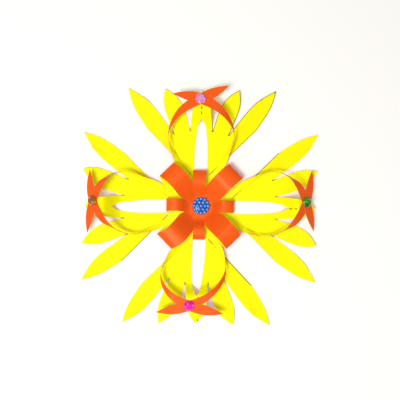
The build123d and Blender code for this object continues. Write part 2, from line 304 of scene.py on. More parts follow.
def blade_rise(name):
    """Out and height along a centre blade, from its fold line to its tip."""
    out, _, height, tilt = CROSSINGS[name]
    c, s = math.cos(math.radians(tilt)), math.sin(math.radians(tilt))
    level = (out - FLAT_BEFORE_CROSSING * c, height + FLAT_BEFORE_CROSSING * s)
    run = level[0] - NOTCH[0]
    rise = bezier((NOTCH[0], CARD / 2), (NOTCH[0] + BLADE_START * run, CARD / 2),
                  (level[0] - BLADE_ARRIVE * run * c, level[1] + BLADE_ARRIVE * run * s), level, 60)
    tip = (BLADE_REACH, height - math.tan(math.radians(tilt)) * (BLADE_REACH - out))
    return np.vstack([rise, tip])


def hand_sway(name, x):
    """How far a hand has slewed sideways in its own frame, by distance out from the centre."""
    return SWAY[name] * ease(x, SWAY_START, SWAY_FULL)


def sheet_height(name, x, y):
    """Height of the sheet's middle in a hand's frame: flat palm, risen centre blade, lightly lifted tips."""
    rise = blade_rise(name)
    out = CROSSINGS[name][0]
    centre = (x > NOTCH[0]) & (np.abs(y) < np.interp(x, *BLADE_ZONE))
    risen = np.interp(x, rise[:, 0], rise[:, 1])
    folded = ease(x, 64, 79) * (1 - ease(x, out - 16, out - 8)) + ease(x, out + 11, out + 15)
    fold = -FOLD_SLOPE * FOLDS[name] * np.abs(y) * folded
    medium = (~centre) & (np.abs(y) < MEDIUM_SHARE * x)
    along = (x + np.abs(y)) / math.sqrt(2)
    lifts = [tip * ease(run, start, end) for run, (tip, start, end) in ((x, MEDIUM_LIFT), (along, LONG_LIFT))]
    lift = np.where(medium, *lifts)
    lift = lift + RIPPLE * ease(x, RIPPLE_START, RIPPLE_FULL) * np.sin(x / 11 + y / 17)
    return np.where(centre, np.maximum(risen + fold, CARD / 2), CARD / 2 + np.maximum(lift, 0))


def loop_rows(kind, name, level):
    """Rows of a loop's middle surface, root to tip, in the strip's own frame."""
    reach, height = (NARROW_LOOPS if kind == "narrow" else WIDE_LOOPS)[name]
    root, width = (NARROW_ROOT, NARROW_WIDTH) if kind == "narrow" else (WIDE_ROOT, WIDE_WIDTH)
    end = CARD / 2 + LAYER * (level + 1)
    top, top_out = height - CARD / 2, LOOP_TOP_SHARE * reach
    turn_out = (8 * (reach - CARD / 2) - root - top_out) / 6
    landing = FIRST_LANDING - LANDING_STEP * level
    fall = top_out - landing
    leave, arrive = FALLS[kind]
    turn = bezier((root, CARD / 2), (turn_out, CARD / 2), (turn_out, top), (top_out, top), 40)
    back = bezier((top_out, top), (top_out - leave * fall, top),
                  (landing + arrive * fall, end), (landing, end), 40)
    flat = np.array([(x, end) for x in np.linspace(landing, -TIP_PAST_CENTRE, 12)[1:]])
    curve = np.vstack([turn, back[1:], flat])
    strip, taper = (width - KNIFE) / 2, TAPERS[kind, name]
    far_aside, top_aside, back_width = LOOP_STRAY[kind, name]
    across = 8 if kind == "narrow" else 12
    far = int(np.argmax(curve[:, 0]))
    rows = []
    for i, (x, z) in enumerate(curve):
        if i <= far:
            # A curling strip strays and narrows as it rises to its far end
            share = float(ease(z, STRAY_FROM * curve[far, 1], curve[far, 1]))
            half, aside = strip + share * (back_width / 2 - strip), share * far_aside
        else:
            pointed = (x + TIP_PAST_CENTRE) / (taper + TIP_PAST_CENTRE)
            half = back_width / 2 * min(1.0, max(LOOP_POINT_SHARE, pointed))
            share = float(ease(curve[far, 0] - x, 0, STRAY_RUN * reach))
            aside = far_aside + share * (top_aside - far_aside)
            aside *= float(ease(x, STRAIGHT_BY, STRAIGHT_FROM * reach))
        rows.append([(x, half * u + aside, z) for u in np.linspace(-1, 1, across + 1)])
    return rows


def ribbon_rows(name, side):
    """Rows of a ribbon's points, its two edges drawn to their cuts near the root so that no gap shows."""
    rows = []
    frames = ribbon_frames(name, side)
    length = 0.0
    for i, (middle, across, width) in enumerate(frames):
        length += np.linalg.norm(middle - frames[i - 1][0]) if i else 0.0
        row = np.array([middle + across * (width / 2) * u for u in np.linspace(-1, 1, RIBBON_POINTS)])
        off = (row[:, 0] - np.abs(row[:, 1] - hand_sway(name, row[:, 0]))) / math.sqrt(2)
        if i == 0:
            inner, outer = (0, -1) if off[0] > off[-1] else (-1, 0)
        share = np.linspace(1, 0, RIBBON_POINTS) if inner == 0 else np.linspace(0, 1, RIBBON_POINTS)
        outwards = np.array([1, -1 if side == "left" else 1, 0]) / math.sqrt(2)
        short = max(RIBBON_INNER + EDGE_LAP - off[inner], 0) * float(ease(length, 3, 10))
        spare = min(max(off[outer] - (RIBBON_INNER - RIBBON_WIDTH), 0), EDGE_DRAW)
        spare *= 1 - float(ease(length, 12, 34))
        if off[inner] > RIBBON_INNER - 4.0:
            row = row + outwards * (short * share)[:, None]
        rows.append(row - outwards * (spare * (1 - share))[:, None])
    return rows


def ribbon_frames(name, side, count=96):
    """Middle, across and width along a ribbon, root to tip, in the hand's frame."""
    sign = 1 if side == "left" else -1
    out, left, height, tilt = CROSSINGS[name]
    (wide_out, wide_off), (tip_out, tip_off) = RIBBONS[name, side]
    cross_off = sign * left
    root = np.array(off_diagonal(RIBBON_ROOT, RIBBON_INNER - RIBBON_WIDTH / 2))
    wide = np.array([wide_out, wide_off])
    bow = [tuple(root + (wide - root) * np.array(s)) for s in RIBBON_BOW]
    shoulder = (wide_out + RIBBON_SHOULDER[0] * (out - wide_out),
                wide_off - RIBBON_SHOULDER[1] * (wide_off - cross_off))
    stops = [tuple(root + ROOT_RUN), *bow, tuple(wide), shoulder, (out, cross_off), (tip_out, -tip_off)]
    bend = curve_through(stops, 400)
    plan = np.vstack([root, bend])
    plan[:, 1] *= sign
    run = np.concatenate([[0], np.cumsum(np.linalg.norm(np.diff(plan, axis=0), axis=1))])
    total = run[-1]
    crossed = run[np.argmin(np.linalg.norm(plan - (out, left), axis=1))]
    upright_by = run[np.argmin(np.linalg.norm(plan - (wide_out, sign * wide_off), axis=1))]
    settled = crossed - SETTLE_BEFORE - max(-sign * left, 0)
    slope = math.tan(math.radians(tilt))
    normal = np.array([math.sin(math.radians(tilt)), 0, math.cos(math.radians(tilt))])
    seat = np.array([out, left, height]) + normal * LAYER * (2 if side == "left" else 1)

    def bank(length):
        return math.radians(90 * float(ease(length, BANK_START, upright_by)))

    def on_plan(length):
        return np.array([np.interp(length, run, plan[:, 0]), np.interp(length, run, plan[:, 1])])

    def middle(length):
        spot = on_plan(length)
        ahead = on_plan(length + 1) - spot
        inward = np.array([ahead[1], -ahead[0]]) * sign / max(np.linalg.norm(ahead), 1e-6)
        # The outer edge stays where it would be if the ribbon stood early, so a leaning ribbon moves inwards
        early = math.radians(90 * float(ease(length, BANK_START, EARLY_BANK_END)))
        x, y = spot + inward * (RIBBON_WIDTH - KNIFE) / 2 * (math.cos(bank(length)) - math.cos(early))
        free = (CARD + RIBBON_WIDTH * math.sin(bank(length))) / 2 + CLIMB * ease(length, 1, crossed)
        seated = seat[2] - slope * (x - seat[0])
        return np.array([x, y, free + ease(length, settled - DROP_RUN, settled) * (seated - free)])

    frames = []
    for length in np.linspace(0, total, count + 1):
        along = middle(min(length + 0.4, total)) - middle(max(length - 0.4, 0))
        along /= np.linalg.norm(along)
        level = np.cross([0, 0, 1], along)
        level /= np.linalg.norm(level)
        stood = bank(length)
        back = level * sign * math.sin(stood) - np.cross(along, level) * math.cos(stood)
        over = LEAN_OVER * ease(length, upright_by - LEAN_BEFORE, upright_by + LEAN_AFTER)
        over = over + (1 - over) * ease(length, settled - LIE_DOWN[name], settled)
        back = back + (normal - back) * float(over)
        across = np.cross(along, back)
        across /= np.linalg.norm(across)
        even = RIBBON_WIDTH - KNIFE
        leaf = even + (RIBBON_END_WIDTH - even) * float(ease(length, WIDEN_START, WIDEN_END))
        from_tip = min((total - length) / TAIL_LENGTH, 1.0)
        width = max(POINT_WIDTH, leaf * (1 - (1 - from_tip) ** TAIL_POWER))
        frames.append((middle(length), across, width))
    return frames


def grid_faces(rows, start, flip):
    """Quads over rows of points that begin at an index."""
    n = len(rows[0])
    faces = []
    for i in range(len(rows) - 1):
        for j in range(n - 1):
            a = start + i * n + j
            quad = (a, a + 1, a + n + 1, a + n)
            faces.append(quad[::-1] if flip else quad)
    return faces


def print_and_shade_share(outline):
    """Darkness of the edge line at each corner of the outline, 1 black, 0 none: painted shadow along the
    ribbons' necks, painted shade at the deep ends of cuts, and a printed line on the north hand's right side.
    """
    print_and_shade = np.zeros(len(outline))
    points = np.array(outline)
    for name, bearing in BEARINGS.items():
        own = turned(points, -bearing)
        x, y = own[:, 0], own[:, 1]
        mine = x > np.abs(y)
        left, off = (y > 0), (x - np.abs(y)) / math.sqrt(2)
        # Painted shadow in the gap where each ribbon stands up from its cut, stronger on the sides where it
        # shows most
        neck = mine & (np.abs(off - RIBBON_INNER) < 0.1) & (x > NECK_START)
        strong = neck & (left == (name != "north"))
        print_and_shade = np.where(strong, STRONG_NECK_SHADE, np.where(neck, FAINT_NECK_SHADE, print_and_shade))
        if name == "north":
            side = mine & ~left & (off > RIBBON_INNER - 0.1) & (x > SIDE_START)
            print_and_shade = np.where(side, SIDE_INK, print_and_shade)
        # Painted shade in the deep end of each cut
        for corner in (NOTCH, SLIT):
            gap = np.hypot(x - corner[0], np.abs(y) - corner[1])
            print_and_shade = np.maximum(print_and_shade, np.where(mine & (gap < END_RADIUS), END_SHADE, 0.0))
    return print_and_shade


def inset_points(outline, print_and_shade, depth):
    """Points just inside the printed and painted-shade parts of the outline, so that the dark line ends
    there.
    """
    p = np.array(outline)
    along = np.roll(p, -1, axis=0) - np.roll(p, 1, axis=0)
    along /= np.linalg.norm(along, axis=1)[:, None]
    inner = p + np.column_stack([-along[:, 1], along[:, 0]]) * depth
    near = (print_and_shade + np.roll(print_and_shade, 1) + np.roll(print_and_shade, -1)) > 0
    inner = inner[near]
    inner = inner[inside(inner, outline)]
    return inner[away_from(inner, outline) > 0.8 * depth]


def paper_surface(spacing):
    """Middle surface of the whole cut sheet, yellow side up: vertices and faces in millimetres, and the
    darkness of its printed and painted-shade edge lines.
    """
    half = half_outline()
    hand = [(x, -y) for x, y in half[::-1]][:-1] + list(half)
    outline = []
    for bearing in BEARINGS.values():
        outline.extend(tuple(p) for p in turned(hand[:-1], bearing))
    slits = [[tuple(p) for p in turned(slit_outline(), bearing)] for bearing in BEARINGS.values()]
    n = int(2 * HALF / spacing) + 2
    steps = (np.arange(n) - n / 2 + 0.5) * spacing
    # Rows of nearly equal triangles: every other row is moved along by half a step
    shifts = [0.5 * spacing if i % 2 else 0 for i in range(n)]
    grid = np.array([(x + shift, y * ROW_STEP) for shift, y in zip(shifts, steps) for x in steps])
    grid = np.array([g for g in grid if abs(g[0]) < HALF and abs(g[1]) < HALF])
    keep = inside(grid, outline)
    for slit in slits:
        keep &= ~inside(grid, slit)
    grid = grid[keep]
    corners = np.vstack([outline, *slits])
    print_and_shade = print_and_shade_share(outline)
    rim = inset_points(outline, print_and_shade, EDGE_LINE_DEPTH)
    grid = grid[away_from(grid, corners) > 0.55 * spacing]
    grid = grid[away_from(grid, rim) > 0.4 * spacing]
    fold = [(x, 0.0) for x in np.linspace(NARROW_TIP + 1, BLADE_REACH - 1, 22)]
    folds = [turned(fold, bearing) for bearing in BEARINGS.values()]
    on_fold = np.vstack(folds)
    grid = grid[away_from(grid, on_fold) > 0.5 * spacing]
    points, edges = [], []
    for ring in (outline, *slits):
        first = len(points)
        points.extend(ring)
        edges.extend((first + i, first + (i + 1) % len(ring)) for i in range(len(ring)))
    for line in folds:
        first = len(points)
        points.extend(tuple(p) for p in line)
        edges.extend((first + i, first + i + 1) for i in range(len(line) - 1))
    points.extend(tuple(p) for p in rim)
    points.extend(tuple(p) for p in grid)
    verts, _, faces, origin, *_ = delaunay_2d_cdt([Vector(p) for p in points], edges, [], 0, 1e-4)
    flat = np.array([tuple(v) for v in verts])
    vertex_print_and_shade = [max((print_and_shade[i] for i in sources if i < len(print_and_shade)), default=0.0) for sources in origin]
    middles = np.array([flat[list(f)].mean(axis=0) for f in faces])
    good = inside(middles, outline)
    for slit in slits:
        good &= ~inside(middles, slit)
    faces = [tuple(f) for f, g in zip(faces, good) if g]
    height, placed = np.full(len(flat), CARD / 2), flat.copy()
    for name, bearing in BEARINGS.items():
        own = turned(flat, -bearing)
        mine = own[:, 0] >= np.abs(own[:, 1]) - 1e-6
        height = np.where(mine, sheet_height(name, own[:, 0], own[:, 1]), height)
        own[:, 1] += hand_sway(name, own[:, 0])
        placed = np.where(mine[:, None], turned(own, bearing), placed)
    verts = np.column_stack([placed, height])
    return [tuple(v) for v in verts], faces, vertex_print_and_shade


def paper_mesh(spacing):
    """The sheet with its loops and ribbons joined on at their roots."""
    verts, faces, vertex_print_and_shade = paper_surface(spacing)
    for level, (kind, name) in enumerate(STACK_ORDER):
        bearing = BEARINGS[name] + (45 if kind == "wide" else 0)
        rows = [turned(row, bearing) for row in loop_rows(kind, name, level)]
        faces.extend(grid_faces(rows, len(verts), flip=True))
        verts.extend(tuple(p) for row in rows for p in row)
    for name, side in RIBBONS:
        rows = [turned(row, BEARINGS[name]) for row in ribbon_rows(name, side)]
        faces.extend(grid_faces(rows, len(verts), flip=True))
        verts.extend(tuple(p) for row in rows for p in row)
    return verts, faces, vertex_print_and_shade + [0.0] * (len(verts) - len(vertex_print_and_shade))


# Materials

# Dark lines: strength of the edge lines (painted shade, with print on the north hand's right side) and of the
# printed dashes, half a dash as a share of its step, half its width
EDGE_PRINT_AND_SHADE_STRENGTH, DASH_STRENGTH, DASH_SHARE, DASH_HALF_WIDTH = 0.85, 0.95, 0.26, 0.42


def new_material(name):
    """A named material with a fresh Principled surface, and its tree."""
    material = bpy.data.materials.new(name)
    material.use_nodes = True
    tree = material.node_tree
    tree.nodes.clear()
    shader = add_node(tree, "ShaderNodeBsdfPrincipled")
    add_node(tree, "ShaderNodeOutputMaterial", {"Surface": shader.outputs[0]})
    return material, tree, shader


def maths(tree, operation, *values):
    """Output of a Math node over sockets and plain numbers."""
    links = {i: value for i, value in enumerate(values) if isinstance(value, bpy.types.NodeSocket)}
    node = add_node(tree, "ShaderNodeMath", links, operation=operation)
    for i, value in enumerate(values):
        if i not in links:
            node.inputs[i].default_value = value
    return node.outputs[0]


def card_material(name, colour, deep, marked):
    """Uncoated dyed card, calendered: matt with a faint mottle, and a little satin on its orange side."""
    material, tree, shader = new_material(name)
    shader.inputs["Roughness"].default_value = 0.55 if marked else 0.4
    shader.inputs["Specular IOR Level"].default_value = 0.15 if marked else 0.35
    shader.inputs["Specular Tint"].default_value = linear("#FFF0C0" if marked else "#FFD8A0")
    place = add_node(tree, "ShaderNodeTexCoord").outputs["Object"]
    # Mottle about 9 mm across, and fibres about 0.5 mm, drawn a little coarser than card fibre is.
    mottle = add_node(tree, "ShaderNodeTexNoise", {"Vector": place}, Scale=110.0, Detail=3.0, Roughness=0.55)
    fibre = add_node(tree, "ShaderNodeTexNoise", {"Vector": place}, Scale=1900.0, Detail=4.0, Roughness=0.6)
    share = add_node(tree, "ShaderNodeMapRange", {"Value": mottle.outputs["Fac"]})
    share.inputs["From Min"].default_value = 0.35
    share.inputs["From Max"].default_value = 0.7
    share.inputs["To Max"].default_value = 0.35
    mix = add_node(tree, "ShaderNodeMix", data_type="RGBA")
    tree.links.new(share.outputs[0], mix.inputs["Factor"])
    mix.inputs["A"].default_value = linear(colour)
    mix.inputs["B"].default_value = linear(deep)
    result = mix.outputs["Result"]
    if marked:
        marks = fold_marks(tree, place)
        # Edge lines from the attribute: painted shadow beside the ribbons' necks and painted shade at the
        # cuts' deep ends, with the printed line on the north hand's right side, all mixed in as the dark
        # olive of the print
        print_and_shade = add_node(tree, "ShaderNodeAttribute", attribute_name="print_and_shade").outputs["Fac"]
        # The attribute fades across 1 mm, so this band of it leaves a line a few tenths of a millimetre wide
        line = add_node(tree, "ShaderNodeMapRange", {"Value": print_and_shade}, From_Min=0.3, From_Max=0.5)
        faint = maths(tree, "MULTIPLY", line.outputs[0], EDGE_PRINT_AND_SHADE_STRENGTH)
        marks = maths(tree, "MAXIMUM", marks, faint)
        print_and_shade_mix = add_node(tree, "ShaderNodeMix", data_type="RGBA")
        tree.links.new(marks, print_and_shade_mix.inputs["Factor"])
        tree.links.new(result, print_and_shade_mix.inputs["A"])
        print_and_shade_mix.inputs["B"].default_value = linear("#4A4412")
        result = print_and_shade_mix.outputs["Result"]
    tree.links.new(result, shader.inputs["Base Color"])
    bump = add_node(tree, "ShaderNodeBump", {"Height": fibre.outputs["Fac"]}, Strength=0.12, Distance=0.0001)
    tree.links.new(bump.outputs[0], shader.inputs["Normal"])
    return material


def fold_marks(tree, place):
    """Printed dashes along the folds of three centre blades, from Object coordinates: 1 on a dash."""
    parts = add_node(tree, "ShaderNodeSeparateXYZ", {"Vector": place})
    marks = None
    # Each line of dashes: axis along it, axis across it, direction, start, end, middle of a dash, step, in mm
    for along, across, way, start, end, dash, step in (
        ("Y", "X", 1, 83.5, 95.4, 85.1, 4.4), ("X", "Y", 1, 80.5, 92.5, 82.2, 4.3),
        ("Y", "X", -1, 80.6, 86.2, 81.8, 3.4), ("Y", "X", -1, 101.0, 104.5, 102.2, 3.6),
    ):
        run = maths(tree, "MULTIPLY", parts.outputs[along], way / MM)
        phase = maths(tree, "PINGPONG", maths(tree, "SUBTRACT", run, dash), step / 2)
        mark = maths(tree, "LESS_THAN", phase, DASH_SHARE * step)
        near = maths(tree, "COMPARE", parts.outputs[across], 0.0, DASH_HALF_WIDTH * MM)
        for gate in (maths(tree, "GREATER_THAN", run, start), maths(tree, "LESS_THAN", run, end), near):
            mark = maths(tree, "MULTIPLY", mark, gate)
        marks = mark if marks is None else maths(tree, "MAXIMUM", marks, mark)
    return maths(tree, "MULTIPLY", marks, DASH_STRENGTH)


def edge_material():
    """Cut edge of the card: bare fibre of its core, paler than the orange side, matt and slightly uneven."""
    material, tree, shader = new_material("cut_card_edge")
    place = add_node(tree, "ShaderNodeTexCoord").outputs["Object"]
    fibre = add_node(tree, "ShaderNodeTexNoise", {"Vector": place}, Scale=2200.0, Detail=2.0)
    core = add_node(tree, "ShaderNodeMix", {"Factor": fibre.outputs["Fac"]}, data_type="RGBA")
    core.inputs["A"].default_value = linear("#F0A85A")
    core.inputs["B"].default_value = linear("#E49040")
    tree.links.new(core.outputs["Result"], shader.inputs["Base Color"])
    shader.inputs["Roughness"].default_value = 0.8
    return material


def acrylic_material(name, colour, deep, painted_light, coat):
    """Cast acrylic, polished, under a clear gloss: its colour runs from deep to pale by an attribute that
    paints in highlights and dark reflections.
    """
    material, tree, shader = new_material(name)
    shader.inputs["Roughness"].default_value = 0.16
    shader.inputs["IOR"].default_value = 1.49
    shader.inputs["Specular IOR Level"].default_value = 0.35
    shader.inputs["Coat Weight"].default_value = coat
    shader.inputs["Coat Roughness"].default_value = 0.05
    amount = add_node(tree, "ShaderNodeAttribute", attribute_name=painted_light).outputs["Fac"]
    # Deep colour, the colour itself, then a painted highlight halfway to white
    ramp = add_node(tree, "ShaderNodeValToRGB", {"Fac": amount})
    stops = ramp.color_ramp.elements
    stops[0].position, stops[0].color = 0.0, linear(deep)
    stops[1].position, stops[1].color = 1.0, linear(painted_highlight_colour(colour))
    for position in (0.45, 0.78):
        stops.new(position).color = linear(colour)
    tree.links.new(ramp.outputs["Color"], shader.inputs["Base Color"])
    return material


def painted_highlight_colour(colour):
    """A hex colour taken halfway to white."""
    return "#" + "".join(f"{(int(colour[i:i + 2], 16) + 255) // 2:02X}" for i in (1, 3, 5))


# Sizes and colours that a user would change

def hex_property(name, default, description="Acrylic colour, as sRGB hex"):
    """A colour that a user may change."""
    return bpy.props.StringProperty(name=name, description=description, default=default)


def length_property(name, default, description):
    """A length in metres that a user may change."""
    return bpy.props.FloatProperty(name=name, description=description, default=default, unit="LENGTH")


class FlowerPaper(bpy.types.PropertyGroup):
    front: hex_property("Front", "#FFFA00", "Colour of the card's front, as sRGB hex")
    front_deep: hex_property("Front mottle", "#FFF200", "Deeper tone of the front")
    back: hex_property("Back", "#FA5E12", "Colour of the card's back, as sRGB hex")
    back_deep: hex_property("Back mottle", "#F05210", "Deeper tone of the back")
    spacing: bpy.props.FloatProperty(
        name="Mesh step", description="Spacing of the mesh on the flat sheet, in mm", default=2.2, min=1.0)


class FlowerButton(bpy.types.PropertyGroup):
    radius: length_property("Radius", 0.0072, "Radius of the dome")
    rim: length_property("Rim", 0.0012, "Height of the straight rim")
    dome: length_property("Dome", 0.0012, "Rise of the dome")
    pip: length_property("Pip radius", 0.00175, "Radius of a pip")
    sink: length_property("Pip sink", 0.0005, "How deep a pip sits")
    outer_ring: length_property("Outer ring", 0.0065, "Radius of the outer ring")
    outer_count: bpy.props.IntProperty(
        name="Outer pips", description="Pips on the outer ring", default=12, min=3)
    inner_ring: length_property("Inner ring", 0.0036, "Radius of the inner ring")
    inner_count: bpy.props.IntProperty(
        name="Inner pips", description="Pips on the inner ring", default=6, min=3)
    colour: hex_property("Colour", "#2A74D0")
    deep: hex_property("Deep colour", "#1650A8", "Colour in the depth, as sRGB hex")


class FlowerGems(bpy.types.PropertyGroup):
    diameter: length_property("Diameter", 0.010, "Across the girdle")
    height: length_property("Height", 0.0034, "Back to table")
    pink: hex_property("Pink", "#F08CC6")
    green: hex_property("Green", "#3E8E06")
    magenta: hex_property("Magenta", "#FA18B0")
    amber: hex_property("Amber", "#A85C00")


class FlowerStage(bpy.types.PropertyGroup):
    distance: length_property("Camera height", 0.6, "Camera above the sheet")
    frame_width: length_property("Frame width", 0.369, "Width seen at the sheet")
    roll: bpy.props.FloatProperty(
        name="Roll", description="Turn of the camera about its view", default=math.radians(1.15),
        subtype="ANGLE")


# Operators

class FLOWER_OT_paper(bpy.types.Operator):
    """Build the cut, curled and glued sheet of two-sided card"""
    bl_idname = "flower.paper"
    bl_label = "Paper Sheet"

    def execute(self, context):
        paper = context.scene.flower_paper
        verts, faces, vertex_print_and_shade = paper_mesh(paper.spacing)
        materials = [
            card_material("yellow_card_front", paper.front, paper.front_deep, True),
            card_material("orange_card_back", paper.back, paper.back_deep, False),
            edge_material(),
        ]
        piece = new_piece("folded_sheet", verts, faces, materials)
        # Darkness of the edge lines per point: painted shade beside the ribbons' necks and at the cuts' ends,
        # and the north hand's printed line
        piece.data.attributes.new("print_and_shade", "FLOAT", "POINT").data.foreach_set("value", vertex_print_and_shade)
        mesh = bmesh.new()
        mesh.from_mesh(piece.data)
        bmesh.ops.remove_doubles(mesh, verts=mesh.verts, dist=0.02 * MM)
        mesh.to_mesh(piece.data)
        mesh.free()
        shell = piece.modifiers.new("card", "SOLIDIFY")
        shell.thickness = CARD * MM
        shell.offset = 0.0
        shell.use_even_offset = True
        shell.thickness_clamp = 0
        shell.material_offset = 1
        shell.material_offset_rim = 2
        finished(piece, 42.0)
        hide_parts("paper_sheet")
        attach(piece, "root")
        return {"FINISHED"}


PIP_SEGMENTS, PIP_RINGS = 20, 10
# Where the button's middle sits, in millimetres east and north of the sheet's centre
BUTTON_SEAT = (1.1, 0.9)


def pip_tree():
    """Geometry Nodes: round pips on a ring, with named inputs for ring, count and radius."""
    tree = bpy.data.node_groups.new("pips_on_a_ring", "GeometryNodeTree")
    tree.interface.new_socket("Geometry", in_out="OUTPUT", socket_type="NodeSocketGeometry")
    sockets = {}
    for label, kind in (("Ring radius", "NodeSocketFloat"), ("Count", "NodeSocketInt"),
                        ("Pip radius", "NodeSocketFloat"), ("Height", "NodeSocketFloat"),
                        ("Material", "NodeSocketMaterial")):
        sockets[label] = tree.interface.new_socket(label, in_out="INPUT", socket_type=kind)
    source = add_node(tree, "NodeGroupInput")
    ring = add_node(tree, "GeometryNodeMeshCircle", {"Vertices": source.outputs["Count"],
                                                    "Radius": source.outputs["Ring radius"]})
    ball = add_node(tree, "GeometryNodeMeshUVSphere", {"Radius": source.outputs["Pip radius"]})
    ball.inputs["Segments"].default_value = PIP_SEGMENTS
    ball.inputs["Rings"].default_value = PIP_RINGS
    placed = add_node(tree, "GeometryNodeInstanceOnPoints",
                      {"Points": ring.outputs[0], "Instance": ball.outputs[0]})
    lift = add_node(tree, "ShaderNodeCombineXYZ", {"Z": source.outputs["Height"]})
    raised = add_node(tree, "GeometryNodeTransform",
                      {"Geometry": placed.outputs[0], "Translation": lift.outputs[0]})
    real = add_node(tree, "GeometryNodeRealizeInstances", {"Geometry": raised.outputs[0]})
    painted = add_node(tree, "GeometryNodeSetMaterial", {"Geometry": real.outputs[0],
                                                        "Material": source.outputs["Material"]})
    add_node(tree, "NodeGroupOutput", {"Geometry": painted.outputs[0]})
    return tree, sockets


def pips_on_ring(context, ring, count, radius, height, material):
    """Mesh of a ring of round pips, from its Geometry Nodes tree."""
    tree, sockets = pip_tree()
    holder = bpy.data.objects.new("pips", bpy.data.meshes.new("pips"))
    context.scene.collection.objects.link(holder)
    modifier = holder.modifiers.new("pips", "NODES")
    modifier.node_group = tree
    for label, value in (("Ring radius", ring), ("Count", count), ("Pip radius", radius),
                         ("Height", height), ("Material", material)):
        modifier[sockets[label].identifier] = value
    dg = context.evaluated_depsgraph_get()
    mesh = bpy.data.meshes.new_from_object(holder.evaluated_get(dg))
    bpy.data.objects.remove(holder)
    return mesh


class FLOWER_OT_button(bpy.types.Operator):
    """Build the domed button with its rings of round pips"""
    bl_idname = "flower.button"
    bl_label = "Centre Button"

    def execute(self, context):
        sizes = context.scene.flower_button
        material = acrylic_material("polished_blue_acrylic", sizes.colour, sizes.deep, "painted_light", coat=0.1)
        seat_x, seat_y = BUTTON_SEAT[0] * MM, BUTTON_SEAT[1] * MM
        seat_z = (CARD + LAYER * len(STACK_ORDER)) * MM
        sphere = (sizes.radius ** 2 + sizes.dome ** 2) / (2 * sizes.dome)
        whole = bmesh.new()
        # Half section of the dome: flat back, small bevel, straight rim, then the arc to the middle
        profile = [(0.0, 0.0), (sizes.radius * 0.97, 0.0)]
        profile += [(sizes.radius, sizes.rim * 0.15), (sizes.radius, sizes.rim)]
        for k in range(1, 9):
            ring = sizes.radius * (1 - k / 8)
            drop = sphere - math.sqrt(sphere ** 2 - ring ** 2)
            profile.append((ring, sizes.rim + sizes.dome - drop))
        verts = [whole.verts.new((r, 0, z)) for r, z in profile]
        edges = [whole.edges.new(pair) for pair in zip(verts, verts[1:])]
        bmesh.ops.spin(whole, geom=verts + edges, axis=(0, 0, 1), cent=(0, 0, 0), dvec=(0, 0, 0),
                       angle=2 * math.pi, steps=64, use_merge=True)
        bmesh.ops.remove_doubles(whole, verts=whole.verts, dist=1e-7)
        bmesh.ops.recalc_face_normals(whole, faces=whole.faces)
        mesh = bpy.data.meshes.new("dome")
        whole.to_mesh(mesh)
        whole.free()
        mesh.materials.append(material)
        joined = bmesh.new()
        joined.from_mesh(mesh)
        # Painted highlight: a pip is coloured palest on its top and deep blue round its foot, by height,
        # standing in for the light it lets through from above.
        painted_light = joined.verts.layers.float.new("painted_light")
        rings = ((sizes.outer_ring, sizes.outer_count), (sizes.inner_ring, sizes.inner_count), (0.0, 1))
        for ring, count in rings:
            drop = sphere - math.sqrt(sphere ** 2 - ring ** 2)
            height = sizes.rim + sizes.dome - drop - sizes.sink
            part = bmesh.new()
            if count == 1:
                bmesh.ops.create_uvsphere(part, u_segments=PIP_SEGMENTS, v_segments=PIP_RINGS,
                                          radius=sizes.pip, matrix=Matrix.Translation((0, 0, height)))
            else:
                part.from_mesh(pips_on_ring(context, ring, count, sizes.pip, height, material))
            low = [f for f in part.faces if f.calc_center_median().z < 0]
            bmesh.ops.delete(part, geom=low, context="FACES")
            pips = bpy.data.meshes.new("pips_part")
            part.to_mesh(pips)
            part.free()
            already = len(joined.verts)
            joined.from_mesh(pips)
            joined.verts.ensure_lookup_table()
            for vert in joined.verts[already:]:
                vert[painted_light] = max(0.0, (vert.co.z - height) / sizes.pip)
        bmesh.ops.translate(joined, verts=joined.verts, vec=(seat_x, seat_y, seat_z))
        joined.to_mesh(mesh)
        joined.free()
        piece = bpy.data.objects.new("pipped_button", mesh)
        context.scene.collection.objects.link(piece)
        for face in mesh.polygons:
            face.use_smooth = True
        mesh.set_sharp_from_angle(angle=math.radians(50))
        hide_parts("centre_button")
        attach(piece, "root")
        return {"FINISHED"}


# Corners of a stone's facets: girdle, shoulder and table, as shares of its radius and height, then the
# painted reflection levels of its table and its back facets
GEM_GIRDLE = ((0.97, 0.0), (1.0, 0.22), (0.985, 0.31))
GEM_SHOULDER, GEM_TABLE = (0.77, 0.72), (0.52, 1.0)
TABLE_PAINTED_LIGHT, BACK_PAINTED_LIGHT = 0.62, 0.35
GEM_SEED = 11


